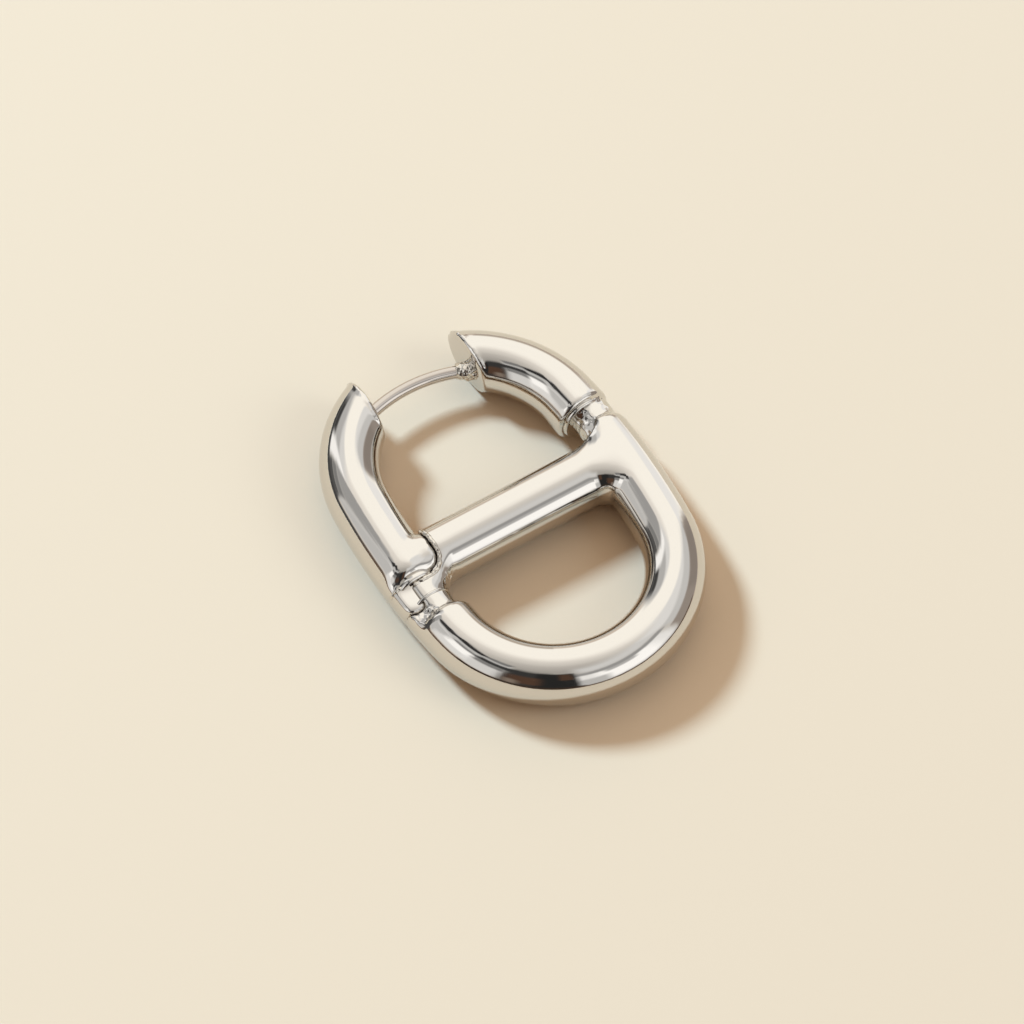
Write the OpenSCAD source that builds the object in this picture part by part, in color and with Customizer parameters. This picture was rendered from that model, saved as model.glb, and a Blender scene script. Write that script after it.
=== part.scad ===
// Chain link hoop earring, made as an oval studded link of round polished rod.
// It lies flat: X runs along the crossbar, Y along the link toward the ear post, Z is up.
// The link is nearly the same when it is turned half round, so its left side is laid out
// as a right side and then turned by 180 degrees. A station is a length along a side of
// the oval, counted from the crossbar: upward on the right side, downward on the left.

/* [Link] */
// Length of the oval along Y, between centrelines
link_long = 22.7; // [22.5:0.1:23]
// Width of the oval along X, between centrelines
link_wide = 14.5; // [14.4:0.05:14.7]
// Radius of the oval's tight ends, on the centreline
end_r = 7; // [6.85:0.05:7.05]
// Diameter of the round rod
rod_d = 3.55; // [3.5:0.02:3.6]
// Diameter of the crossbar
bar_d = 3.45; // [3.35:0.05:3.45]

/* [Necks] */
// Diameter of the turned necks
neck_d = 2.45; // [2.35:0.05:2.55]
// Diameter of the thin collar at the foot of each arm
collar_d = 2.8; // [2.7:0.05:2.9]
// How far each collar stands out of its arm
collar_w = 0.16; // [0.1:0.02:0.2]
// Rounding of the loop's two shoulders
shoulder_round = 0.6; // [0.5:0.05:0.65]
// Station of the loop's right shoulder
right_shoulder = 2.45; // [2.4:0.05:2.5]
// Length of the right neck, from shoulder to arm
right_neck_len = 1; // [0.9:0.05:1.1]
// How far the right neck lies outside the rod's centreline
right_neck_out = 0.25; // [0.15:0.05:0.35]
// Radius of the hollow between the crossbar and the right shoulder
hollow_r = 1.35; // [1.3:0.05:1.4]
// Station of the hinged arm's foot, collar included
arm_foot = 1.5; // [1.45:0.05:1.55]
// Rounding of the hinged arm's foot
foot_round = 0.9; // [0.8:0.05:1]
// Diameter of the stub that the hinged arm's foot turns toward the crossbar
stub_d = 3; // [2.8:0.1:3.2]
// How far the left neck lies inside the rod's centreline
left_neck_in = 0.1; // [0.05:0.05:0.15]
// Station of the bead between the left neck's two barrels
bead_station = 2.65; // [2.6:0.05:2.7]
// Station of the loop's left shoulder
left_shoulder = 3.8; // [3.75:0.05:3.9]

/* [Arms] */
// X of the hinged arm's end face
left_face_x = -3.2; // [-3.3:0.05:-3]
// X of the fixed arm's end face
right_face_x = 3.3; // [3.2:0.05:3.5]

/* [Hinge] */
// How far the hinge pin lies outside the rod's centreline
pin_out = 0.83; // [0.81:0.01:0.85]
// Y of the hinge pin
pin_y = -2.15; // [-2.18:0.01:-2.12]
// Diameter of the hinge pin
pin_d = 0.5; // [0.46:0.02:0.52]
// Radius of the arm's tongue about the pin
tongue_r = 1; // [0.98:0.01:1.02]
// Height of the tongue's top above the rod's centreline
tongue_top = 0.9; // [0.86:0.01:0.92]
// Thickness of the lug between the tongue's cheeks
lug_t = 0.7; // [0.6:0.05:0.75]
// Gap that lets the arm move
move_gap = 0.04; // [0.03:0.01:0.05]
// Radial clearance of the pin in the tongue
pin_clear = 0.02; // [0.01:0.01:0.03]

/* [Ear wire] */
// Diameter of the wire
wire_d = 0.75; // [0.7:0.05:0.8]
// Radius of the wire's bend
bend_r = 8.6; // [8.5:0.1:8.7]
// X of the bend's centre
bend_x = -0.5; // [-0.6:0.1:-0.4]
// Y of the bend's centre
bend_y = 2.05; // [2:0.05:2.15]
// How far the wire's tip reaches into the hinged arm
tip_depth = 0.95; // [0.8:0.05:1]
// How deep the wire sits in the fixed arm
root_depth = 1.6; // [1.2:0.1:1.8]
// Diameter of the wire's stop collar
stop_d = 1.2; // [1.1:0.05:1.3]
// Length of the stop collar
stop_len = 0.7; // [0.6:0.05:0.8]

/* [Hidden] */
$fn = 96;

rod_r = rod_d / 2;
neck_r = neck_d / 2;
half_wide = link_wide / 2;
half_long = link_long / 2;

// The oval is four arcs: tight ends about (0, +-end_c) and slack sides about (-+side_c, 0)
end_c = half_long - end_r;
side_c = (pow(end_c, 2) - pow(half_wide - end_r, 2)) / (2 * (half_wide - end_r));
side_r = half_wide + side_c;
join_a = atan2(end_c, side_c);
join_station = side_r * join_a * PI / 180;

// The cut arms don't reach as far up as the loop reaches down
top_y = end_c + sqrt(pow(end_r + rod_r, 2) - pow(left_face_x, 2));
centre_y = (top_y - half_long - rod_r) / 2;

stop_round = 0.2;
bead_d = 0.22;
seat_gap = 0.02;
overlap = 0.6;
cut = 20;

// Lengths of rod meet at hairline seams over a core
hair = 0.003;
core_len = 0.4;
core_in = 0.3;

// The outer wall starts just inside a rounded end
wall_inset = 0.08;

// The arm's room widens by this much over a rod's diameter, and its tail starts inside the foot
tail_draft = 0.1;
tail_inset = 0.3;

// The stub stays this far inside the arm's outline
stub_in = 0.03;

// Centre of the hollow beside the right neck
hollow_x = half_wide - 1.3;
hollow_y = bar_d / 2 + 1.225;
neck_root = 1.2;

foot_station = arm_foot - collar_w;
right_foot = right_shoulder + right_neck_len;

// Elbow that carries the crossbar into the left neck
elbow_r = 2;
elbow_d = neck_d - 0.3;

// The lug lies a little under the rod's centreline, midway in the tongue
lug_z = -0.3;
lug_r = 0.5;
lug_wide = 0.8;

pin_x = -half_wide - pin_out;

// The pin is blind above and ends level with the tongue's underside
pin_cover = 0.3;
pin_top = tongue_top - pin_cover;
pin_offset = side_c - pin_x - sqrt(pow(side_r, 2) - pow(pin_y, 2));
pin_bottom = -sqrt(pow(rod_r, 2) - pow(pin_offset + pin_d / 2, 2));

tip_x = left_face_x - tip_depth;
tip_a = acos((tip_x - bend_x) / bend_r);
left_face_a = acos((left_face_x - bend_x) / bend_r);
right_face_a = acos((right_face_x - bend_x) / bend_r);
root_a = right_face_a - root_depth / bend_r * 180 / PI;
socket_a = root_a - 0.5;

// The tip leaves the swinging arm lower down than it lies, so its pocket is a slot
slot_r = wire_d / 2 + 0.06;
swing_r = norm([tip_x - pin_x, wire_y(tip_a) - pin_y]);
slot_low = pin_y + sqrt(pow(swing_r, 2) - pow(left_face_x - pin_x, 2));
slot_high = wire_y(left_face_a);
slot_deep = tip_depth + 0.5;

// Click groove where the wire enters the hinged arm
groove_d = 0.12;
groove_a = left_face_a - 0.3 / bend_r * 180 / PI;

function wire_y(a) = bend_y + bend_r * sin(a);
function station_angle(s) = s / side_r * 180 / PI;

// Rod bent about the origin from angle a0 to angle a1
module bent_rod(r, a0, a1, d) {
    rotate([0, 0, a0])
        rotate_extrude(angle = a1 - a0)
            translate([r, 0])
                circle(d = d);
}

// Rod along the right side of the oval between two stations
module side_rod(s0, s1) {
    translate([-side_c, 0, 0])
        bent_rod(side_r, station_angle(s0 + hair), station_angle(s1 - hair), rod_d);
}

// Rod round the upper end of the oval between two angles
module end_rod(a0, a1) {
    hair_a = hair / end_r * 180 / PI;
    translate([0, end_c, 0])
        bent_rod(end_r, a0 + hair_a, a1 - hair_a, rod_d);
}

// Core across a seam of the right side
module core_at(s) {
    turned_at(s)
        cylinder(h = core_len, r = rod_r - core_in, center = true);
}

// Puts a shape at a station of the right side, with X outward and Y along the rod
module in_plan_at(s) {
    translate([-side_c, 0, 0])
        rotate([0, 0, station_angle(s)])
            translate([side_r, 0, 0])
                children();
}

// Puts a turned shape at a station of the right side, with its Z axis along the rod
module turned_at(s, out = 0) {
    in_plan_at(s)
        translate([out, 0, 0])
            rotate([-90, 0, 0])
                children();
}

// Puts a turned shape on the ear wire, with its Z axis toward the wire's tip
module turned_on_wire(a) {
    translate([bend_x, bend_y, 0])
        rotate([0, 0, a])
            translate([bend_r, 0, 0])
                rotate([-90, 0, 0])
                    children();
}

module half_turn() {
    rotate([0, 0, 180])
        children();
}

// Profile of a disc as thick as the rounding of its upper edge
module rounded_edge(r, round_r) {
    square([r - round_r, round_r]);
    intersection() {
        translate([r - round_r, 0])
            circle(r = round_r);
        square([r, round_r]);
    }
}

module rounded_disc(r, round_r) {
    rotate_extrude()
        rounded_edge(r, round_r);
}

module ring(r, d) {
    rotate_extrude()
        translate([r, 0])
            circle(d = d);
}

// Plan of the hinged arm grown by a gap: its rounded foot, and a tail that widens to follow its bend
module arm_plan(gap) {
    half = rod_r + gap;
    for (side = [0, 1])
        mirror([side, 0])
            rounded_edge(half, foot_round + gap);
    polygon([
        [-half, 0],
        [-half - tail_draft, -rod_d],
        [half + tail_draft, -rod_d],
        [half, 0],
        [half - tail_inset, foot_round / 2],
        [tail_inset - half, foot_round / 2]
    ]);
}

// Upright block on the hinged arm's plan
module arm_block(gap) {
    half_turn()
        in_plan_at(foot_station - foot_round)
            translate([0, 0, -rod_d])
                linear_extrude(2 * rod_d)
                    arm_plan(gap);
}

// Upright-walled room for the hinged arm, cut in the crossbar and the left neck
module arm_room() {
    collar_room = collar_d + 2 * move_gap;
    arm_block(move_gap);
    half_turn()
        in_plan_at(arm_foot + move_gap)
            translate([-collar_room / 2, -overlap, -rod_d])
                cube([collar_room, overlap, 2 * rod_d]);
}

// Plan of the tongue: a disc about the pin, and a strap up to the arm
module tongue_plan(gap) {
    circle(r = tongue_r + gap);
    translate([-cut, 0])
        square([cut + tongue_r + gap, -pin_y]);
}

// Outer lower wall of the rod beside the left neck, between two stations
module outer_wall(s0, s1) {
    intersection() {
        half_turn()
            side_rod(s0, s1);
        translate([-cut, -cut, -cut])
            cube([cut + pin_x + tongue_r, cut, cut + tongue_top]);
    }
}

// Part of the outer wall that swings with the arm
module tongue() {
    intersection() {
        outer_wall(foot_station - foot_round + wall_inset, left_shoulder);
        translate([pin_x, pin_y, -cut])
            linear_extrude(2 * cut)
                tongue_plan(0);
    }
}

module tongue_room() {
    translate([pin_x, pin_y, -cut])
        linear_extrude(cut + tongue_top + move_gap)
            tongue_plan(move_gap);
}

// Eye of the frame that the pin passes through
module hinge_lug() {
    translate([pin_x, pin_y, lug_z - lug_t / 2]) {
        cylinder(h = lug_t, r = lug_r);
        translate([0, -lug_wide / 2, 0])
            cube([tongue_r + overlap, lug_wide, lug_t]);
    }
}

// Slot between the tongue's cheeks, open on the side that the lug swings through
module lug_slot() {
    slot_t = lug_t + 2 * move_gap;
    translate([pin_x, pin_y, lug_z - slot_t / 2]) {
        cylinder(h = slot_t, r = lug_r + move_gap);
        translate([0, -cut, 0])
            cube([cut, cut + lug_wide / 2 + move_gap, slot_t]);
    }
}

module pin_hole(clear) {
    translate([pin_x, pin_y, -rod_r])
        cylinder(h = rod_r + pin_top, d = pin_d + 2 * clear);
}

// Lower loop from its right shoulder round to its left one
module loop() {
    right_round = right_shoulder - shoulder_round;
    left_round = left_shoulder + shoulder_round;
    side_rod(-join_station, right_round);
    core_at(right_round);
    core_at(-join_station);
    turned_at(right_round)
        rounded_disc(rod_r, shoulder_round);
    half_turn() {
        end_rod(join_a, 180 - join_a);
        side_rod(left_round, join_station);
        core_at(join_station);
        core_at(left_round);
        turned_at(left_round)
            mirror([0, 0, 1])
                rounded_disc(rod_r, shoulder_round);
    }
}

// Crossbar, with the elbow that turns its left end down into the neck
module crossbar() {
    bar_end = half_wide - overlap;
    translate([-bar_end, 0, 0])
        rotate([0, 90, 0])
            cylinder(h = 2 * bar_end, d = bar_d);
    translate([elbow_r - half_wide + 2 * left_neck_in, -elbow_r, 0])
        bent_rod(elbow_r, 90, 180, elbow_d);
}

// Two barrels with a bead between them, and the wall outside them
module left_neck() {
    half_turn() {
        turned_at(arm_foot, -left_neck_in)
            cylinder(h = left_shoulder - arm_foot + overlap, d = neck_d);
        turned_at(bead_station, -left_neck_in)
            ring(neck_r, bead_d);
    }
    outer_wall(arm_foot, left_shoulder + shoulder_round - wall_inset);
}

// Hollow between the crossbar and the right shoulder, where the neck shows
module hollow() {
    translate([hollow_x, hollow_y, -rod_d])
        cylinder(h = 2 * rod_d, r = hollow_r);
}

module right_neck() {
    turned_at(neck_root, right_neck_out)
        cylinder(h = right_foot + overlap - neck_root, d = neck_d);
    turned_at(right_foot)
        cylinder(h = overlap, d = collar_d);
}

module fixed_arm() {
    intersection() {
        union() {
            side_rod(right_foot + collar_w, join_station);
            core_at(join_station);
            end_rod(join_a, 90);
        }
        translate([right_face_x, 0, -cut])
            cube([cut, cut, 2 * cut]);
    }
}

// Stub that carries the crossbar's line into the hinged arm's foot
module arm_stub() {
    intersection() {
        arm_block(-stub_in);
        translate([-half_wide, 0, 0])
            rotate([0, 90, 0])
                cylinder(h = rod_d, d = stub_d);
    }
}

// Hinged arm without its tongue
module arm_rod() {
    intersection() {
        union() {
            end_rod(90, 180 - join_a);
            half_turn() {
                core_at(-join_station);
                side_rod(-join_station, foot_station - foot_round);
                core_at(foot_station - foot_round);
                turned_at(foot_station - foot_round)
                    rounded_disc(rod_r, foot_round);
                turned_at(arm_foot - overlap)
                    cylinder(h = overlap, d = collar_d);
            }
        }
        translate([left_face_x - cut, -cut, -cut])
            cube([cut, 2 * cut, 2 * cut]);
    }
}

// Curved socket for the ear wire in the fixed arm
module wire_socket() {
    translate([bend_x, bend_y, 0])
        bent_rod(bend_r, socket_a, right_face_a + 5, wire_d + 2 * seat_gap);
}

// Slot in the hinged arm's face that lets the wire's tip in and out
module tip_pocket() {
    translate([left_face_x - slot_deep, 0, 0]) {
        for (y = [slot_low, slot_high])
            translate([0, y, 0])
                rotate([0, 90, 0])
                    cylinder(h = 2 * slot_deep, r = slot_r);
        translate([0, slot_low, -slot_r])
            cube([2 * slot_deep, slot_high - slot_low, 2 * slot_r]);
    }
}

// Collar of the wire, trimmed to lie against the fixed arm's face
module wire_stop() {
    difference() {
        turned_on_wire(right_face_a) {
            translate([0, 0, stop_len - stop_round])
                rounded_disc(stop_d / 2, stop_round);
            translate([0, 0, -overlap])
                cylinder(h = overlap + stop_len - stop_round, d = stop_d);
        }
        translate([right_face_x - seat_gap, 0, -cut])
            cube([cut, cut, 2 * cut]);
    }
}

// Stands a piece on the surface with the part's centre over the origin
module placed() {
    translate([0, -centre_y, rod_r])
        children();
}

module link_frame() {
    color("silver")
        placed()
            difference() {
                union() {
                    difference() {
                        union() {
                            loop();
                            crossbar();
                            left_neck();
                        }
                        arm_room();
                        tongue_room();
                        hollow();
                    }
                    hinge_lug();
                    right_neck();
                    fixed_arm();
                }
                pin_hole(seat_gap);
                wire_socket();
            }
}

module hinged_arm() {
    color("silver")
        placed()
            difference() {
                union() {
                    arm_rod();
                    arm_stub();
                    tongue();
                }
                lug_slot();
                pin_hole(pin_clear);
                tip_pocket();
            }
}

module hinge_pin() {
    color("gray")
        placed()
            translate([pin_x, pin_y, pin_bottom])
                cylinder(h = pin_top - move_gap - pin_bottom, d = pin_d);
}

module ear_post() {
    color("silver")
        placed()
            difference() {
                union() {
                    translate([bend_x, bend_y, 0])
                        bent_rod(bend_r, root_a, tip_a, wire_d);
                    turned_on_wire(tip_a)
                        sphere(d = wire_d);
                    wire_stop();
                }
                turned_on_wire(groove_a)
                    ring(wire_d / 2, groove_d);
            }
}

link_frame();
hinged_arm();
hinge_pin();
ear_post();
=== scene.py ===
"""Chain link hoop earring in mirror-polished plate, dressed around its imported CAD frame.

Shapes are modelled in millimetres about the oval's centre, with X along the crossbar, Y toward
the ear wire and Z up. Each finished piece is then set on the surface, in metres.
"""

import logging
import math
from contextlib import contextmanager
from dataclasses import dataclass, field
from enum import Enum
from typing import Callable, ClassVar, Iterator, Sequence

import bpy
from mathutils import Matrix, Vector
from mathutils.bvhtree import BVHTree

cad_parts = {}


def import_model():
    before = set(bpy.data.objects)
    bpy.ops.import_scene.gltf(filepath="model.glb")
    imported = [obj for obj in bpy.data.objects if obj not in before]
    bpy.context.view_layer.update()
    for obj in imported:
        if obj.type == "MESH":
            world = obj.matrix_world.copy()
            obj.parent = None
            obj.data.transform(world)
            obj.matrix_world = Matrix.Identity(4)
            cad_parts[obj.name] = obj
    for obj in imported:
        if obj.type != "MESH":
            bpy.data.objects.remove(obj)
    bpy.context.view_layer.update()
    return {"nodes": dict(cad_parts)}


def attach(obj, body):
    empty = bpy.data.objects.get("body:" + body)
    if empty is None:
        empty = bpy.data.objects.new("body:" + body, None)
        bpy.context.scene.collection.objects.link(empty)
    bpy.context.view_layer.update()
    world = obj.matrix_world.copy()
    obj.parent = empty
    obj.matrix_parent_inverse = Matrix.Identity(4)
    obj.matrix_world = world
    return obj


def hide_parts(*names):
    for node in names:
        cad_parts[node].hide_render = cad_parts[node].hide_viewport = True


# A point in space, and an outline or a line as pairs of lengths
Point = tuple[float, float, float]
Plan = list[tuple[float, float]]

MM = 0.001
FULL = 2 * math.pi
LOG = logging.getLogger("earring")

# How far neighbouring parts run into each other before they are melted together
OVERLAP = 0.02
OVERLAP_ANGLE = 0.003

# A cutting tool passes through the rod, or reaches out past the whole link
THROUGH = 4.0
PAST_ALL = 20.0

# Corners this close to a plane lie on it, faces this close to a saw cut are its cap, and
# corners this close to each other are one
NEAR = 0.01
AT_CUT = 1e-4
SAME = 1e-5

# Width of a bead of solder, and the share of its height that is sunk
BEAD = 0.26
BEAD_SUNK = 0.4

# Faces round a rod, and how much of its way a corner goes in one round of smoothing
ROUND = 96
RUB = 0.5


class Body(Enum):
    """CAD bodies that the pieces ride on."""

    LINK = "link"
    ARM = "arm"


class Slot(Enum):
    """Material slots of the record."""

    PLATE = "polished_plate"
    ARM_PLATE = "polished_plate_arm"
    WIRE = "wire_plate"


def linear(code: str) -> tuple[float, float, float, float]:
    """Turns an sRGB hex colour to a linear one.

    Args:
        code: Six hex digits after a hash sign.

    Returns:
        Red, green, blue and alpha for a node's socket.
    """
    parts = [int(code[i : i + 2], 16) / 255 for i in (1, 3, 5)]
    red, green, blue = (
        p / 12.92 if p <= 0.04045 else ((p + 0.055) / 1.055) ** 2.4 for p in parts
    )
    return red, green, blue, 1.0


@dataclass(frozen=True)
class Oval:
    """Centreline of the link, four arcs about the oval's centre, and the rod that runs on it."""

    long: float = 22.7
    wide: float = 14.5
    end_r: float = 7.0
    rod_r: float = 1.775
    centre_y: float = 0.30214

    @property
    def end_c(self) -> float:
        """Distance of a tight end's centre from the oval's centre."""
        return self.long / 2 - self.end_r

    @property
    def side_c(self) -> float:
        """Distance of a slack side's centre from the oval's centre."""
        slack = self.wide / 2 - self.end_r
        return (self.end_c**2 - slack**2) / (2 * slack)

    @property
    def side_r(self) -> float:
        """Radius of a slack side."""
        return self.wide / 2 + self.side_c

    @property
    def join(self) -> float:
        """Angle at which a side meets an end."""
        return math.atan2(self.end_c, self.side_c)

    @property
    def join_station(self) -> float:
        """Station at which a side meets an end."""
        return self.side_r * self.join

    def on_side(self, station: float, out: float = 0.0, left: bool = False) -> Matrix:
        """Gives the place of a turned shape on a side of the oval.

        Args:
            station: Length along the side from the crossbar, upward on the right, downward on the left.
            out: Offset outside the centreline.
            left: Whether the place is on the left side.

        Returns:
            Matrix whose Z axis runs along the rod, away from the crossbar.
        """
        angle = station / self.side_r
        place = (
            Matrix.Translation((-self.side_c, 0, 0))
            @ Matrix.Rotation(angle, 4, "Z")
            @ Matrix.Translation((self.side_r + out, 0, 0))
            @ Matrix.Rotation(math.radians(-90), 4, "X")
        )
        return Matrix.Rotation(math.pi, 4, "Z") @ place if left else place


def take(*pieces: bpy.types.Object) -> None:
    """Selects only these pieces and makes the first one active.

    Args:
        pieces: The pieces to select.
    """
    bpy.ops.object.select_all(action="DESELECT")
    for piece in pieces:
        piece.select_set(True)
    bpy.context.view_layer.objects.active = pieces[0]


@contextmanager
def edit(piece: bpy.types.Object, mode: str = "VERT") -> Iterator[bpy.types.Mesh]:
    """Opens a piece in edit mode with all of it selected.

    Args:
        piece: The object to edit.
        mode: Selection mode, VERT, EDGE or FACE.

    Yields:
        The object's mesh.
    """
    take(piece)
    bpy.ops.object.mode_set(mode="EDIT")
    bpy.ops.mesh.select_mode(type=mode)
    bpy.ops.mesh.select_all(action="SELECT")
    yield piece.data
    bpy.ops.object.mode_set(mode="OBJECT")


def placed(name: str, data: bpy.types.ID) -> bpy.types.Object:
    """Adds an object to the scene.

    Args:
        name: Name of the object.
        data: The mesh, curve, lamp or camera that it shows.

    Returns:
        The object.
    """
    piece = bpy.data.objects.new(name, data)
    bpy.context.collection.objects.link(piece)
    return piece


def move(piece: bpy.types.Object, place: Matrix) -> None:
    """Moves a piece and keeps the move in its mesh.

    Args:
        piece: The piece, whose object sits at the origin.
        place: Where it goes.
    """
    take(piece)
    piece.matrix_world = place
    bpy.ops.object.transform_apply()


def pick_faces(mesh: bpy.types.Mesh, wanted: Callable[[Vector], bool]) -> None:
    """Selects only the wanted faces of the mesh in edit mode.

    Args:
        mesh: The mesh.
        wanted: Says of the middle of a face whether the face is wanted.
    """
    bpy.ops.mesh.select_all(action="DESELECT")
    bpy.ops.object.mode_set(mode="OBJECT")
    for face in mesh.polygons:
        face.select = wanted(face.center)
    bpy.ops.object.mode_set(mode="EDIT")


def face_outward() -> None:
    """Turns all faces of the piece in edit mode outward."""
    bpy.ops.mesh.select_all(action="SELECT")
    bpy.ops.mesh.normals_make_consistent(inside=False)


def named(name: str) -> bpy.types.Object:
    """Names the active object and its mesh.

    Args:
        name: The name for both.

    Returns:
        The active object.
    """
    piece = bpy.context.object
    piece.name = name
    piece.data.name = name
    return piece


def bent_rod(
    centre: Point, bend_r: float, start: float, end: float, rod_r: float, steps: int = 48
) -> bpy.types.Object:
    """Spins a disc into a rod bent about an upright axis.

    Args:
        centre: Centre of the bend.
        bend_r: Radius of the bend.
        start: Angle at which the rod starts.
        end: Angle at which it ends.
        rod_r: Radius of the rod.
        steps: Rings along the rod.

    Returns:
        The closed rod.
    """
    bpy.ops.object.select_all(action="DESELECT")
    at = Vector(centre) + bend_r * Vector((math.cos(start), math.sin(start), 0))
    bpy.ops.mesh.primitive_circle_add(
        vertices=ROUND, radius=rod_r, fill_type="NGON", location=at, rotation=(math.pi / 2, 0, start)
    )
    piece = named("rod")
    bpy.ops.object.transform_apply()
    with edit(piece, "FACE"):
        bpy.ops.mesh.spin(steps=steps, angle=start - end, center=centre, axis=(0, 0, 1))
        face_outward()
    return piece


def turned(profile: Plan, place: Matrix, steps: int = ROUND) -> bpy.types.Object:
    """Spins a profile into a turned solid, as on a lathe.

    Args:
        profile: Radius and height of each corner, from axis to axis.
        place: Where the solid goes, with its axis along Z.
        steps: Faces around.

    Returns:
        The closed solid.
    """
    bpy.ops.object.select_all(action="DESELECT")
    mesh = bpy.data.meshes.new("turned")
    mesh.from_pydata([(r, 0, z) for r, z in profile], [(i, i + 1) for i in range(len(profile) - 1)], [])
    piece = placed("turned", mesh)
    with edit(piece):
        bpy.ops.mesh.spin(steps=steps, angle=FULL, center=(0, 0, 0), axis=(0, 0, 1))
        bpy.ops.mesh.select_all(action="SELECT")
        bpy.ops.mesh.remove_doubles(threshold=SAME)
        bpy.ops.mesh.normals_make_consistent(inside=False)
    move(piece, place)
    return piece


def barrel(
    radius: float, low: float, high: float, place: Matrix, steps: int = ROUND
) -> bpy.types.Object:
    """Turns a plain round bar between two heights, with its axis along the Z of its place."""
    return turned([(0, low), (radius, low), (radius, high), (0, high)], place, steps)


def rounded_end(radius: float, rounding: float, depth: float = 0.3, corners: int = 10) -> Plan:
    """Gives the profile of a rod's end with a rounded edge.

    Args:
        radius: Radius of the rod.
        rounding: Radius of the edge.
        depth: Length of plain rod below the rounding.
        corners: Steps along the rounding.

    Returns:
        The profile, whose rounding starts at height 0.
    """
    arc = arc_plan((radius - rounding, 0), rounding, 0, math.pi / 2, corners)
    return [(0, -depth), (radius, -depth), *arc, (0, rounding)]


def prism(plan: Plan, low: float, high: float, place: Matrix | None = None) -> bpy.types.Object:
    """Extrudes an outline upright.

    Args:
        plan: Corners of the outline.
        low: Lowest height.
        high: Highest height.
        place: Where the prism goes, if it isn't laid out in place.

    Returns:
        The closed prism.
    """
    bpy.ops.object.select_all(action="DESELECT")
    mesh = bpy.data.meshes.new("prism")
    mesh.from_pydata([(x, y, low) for x, y in plan], [], [range(len(plan))])
    piece = placed("prism", mesh)
    with edit(piece, "FACE"):
        bpy.ops.mesh.extrude_region_move(TRANSFORM_OT_translate={"value": (0, 0, high - low)})
        face_outward()
    if place is not None:
        move(piece, place)
    return piece


def arc_plan(
    centre: tuple[float, float], radius: float, start: float, end: float, steps: int = 24
) -> Plan:
    """Gives points along an arc, for an outline.

    Args:
        centre: Centre of the arc.
        radius: Its radius.
        start: Angle of the first point.
        end: Angle of the last point.
        steps: Gaps between the points.

    Returns:
        The points.
    """
    return [
        (
            centre[0] + radius * math.cos(start + (end - start) * i / steps),
            centre[1] + radius * math.sin(start + (end - start) * i / steps),
        )
        for i in range(steps + 1)
    ]


def finish_modifier(piece: bpy.types.Object, kind: str, **settings: object) -> None:
    """Adds a modifier and applies it.

    Args:
        piece: The piece that it changes.
        kind: Type name of the modifier.
        settings: Its properties.
    """
    take(piece)
    modifier = piece.modifiers.new(kind.lower(), kind)
    for key, value in settings.items():
        setattr(modifier, key, value)
    bpy.ops.object.modifier_apply(modifier=modifier.name)


def combine(piece: bpy.types.Object, tool: bpy.types.Object, operation: str) -> None:
    """Cuts a piece with a tool, or keeps what they share, and takes the tool away."""
    finish_modifier(piece, "BOOLEAN", object=tool, operation=operation, solver="EXACT")
    bpy.data.objects.remove(tool)


def joined(name: str, parts: Sequence[bpy.types.Object]) -> bpy.types.Object:
    """Joins overlapping parts to one object.

    Args:
        name: Name of the object.
        parts: The parts, two or more.

    Returns:
        The object.
    """
    take(*parts)
    bpy.ops.object.join()
    return named(name)


def cast(piece: bpy.types.Object, voxel: float, passes: int) -> None:
    """Melts overlapping parts to one skin and softens its edges, as casting and polishing do."""
    finish_modifier(piece, "REMESH", mode="VOXEL", voxel_size=voxel)
    finish_modifier(piece, "SMOOTH", factor=RUB, iterations=passes)


@contextmanager
def zone(piece: bpy.types.Object, centre: Point, reach: float) -> Iterator[str]:
    """Marks the part of a piece round one point, for a modifier.

    Args:
        piece: The piece, with a fine even mesh.
        centre: The point.
        reach: How far from the point the zone fades out.

    Yields:
        Name of the vertex group.
    """
    group = piece.vertex_groups.new(name="zone")
    middle = Vector(centre)
    for corner in piece.data.vertices:
        share = 1 - (corner.co - middle).length / reach
        if share > 0:
            group.add([corner.index], min(1.0, 2 * share), "REPLACE")
    yield group.name
    piece.vertex_groups.clear()


def soften(piece: bpy.types.Object, centre: Point, reach: float, passes: int) -> None:
    """Rubs the edges down round one point."""
    with zone(piece, centre, reach) as name:
        finish_modifier(piece, "SMOOTH", factor=RUB, iterations=passes, vertex_group=name)


def crinkle(
    piece: bpy.types.Object, size: float, depth: float, centre: Point = (0, 0, 0), reach: float = 90
) -> None:
    """Gives a surface the small dents and beads of solder that set by itself.

    Args:
        piece: The piece, with a fine even mesh.
        size: Width of a bead, in millimetres.
        depth: Height of a bead, in millimetres.
        centre: Middle of the crinkled zone.
        reach: How far from the middle the crinkles fade out. The default covers the whole piece.
    """
    beads = bpy.data.textures.new("solder_beads", "VORONOI")
    beads.noise_scale = size
    with zone(piece, centre, reach) as name:
        finish_modifier(
            piece,
            "DISPLACE",
            texture=beads,
            texture_coords="LOCAL",
            strength=depth,
            mid_level=BEAD_SUNK,
            vertex_group=name,
        )


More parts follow.
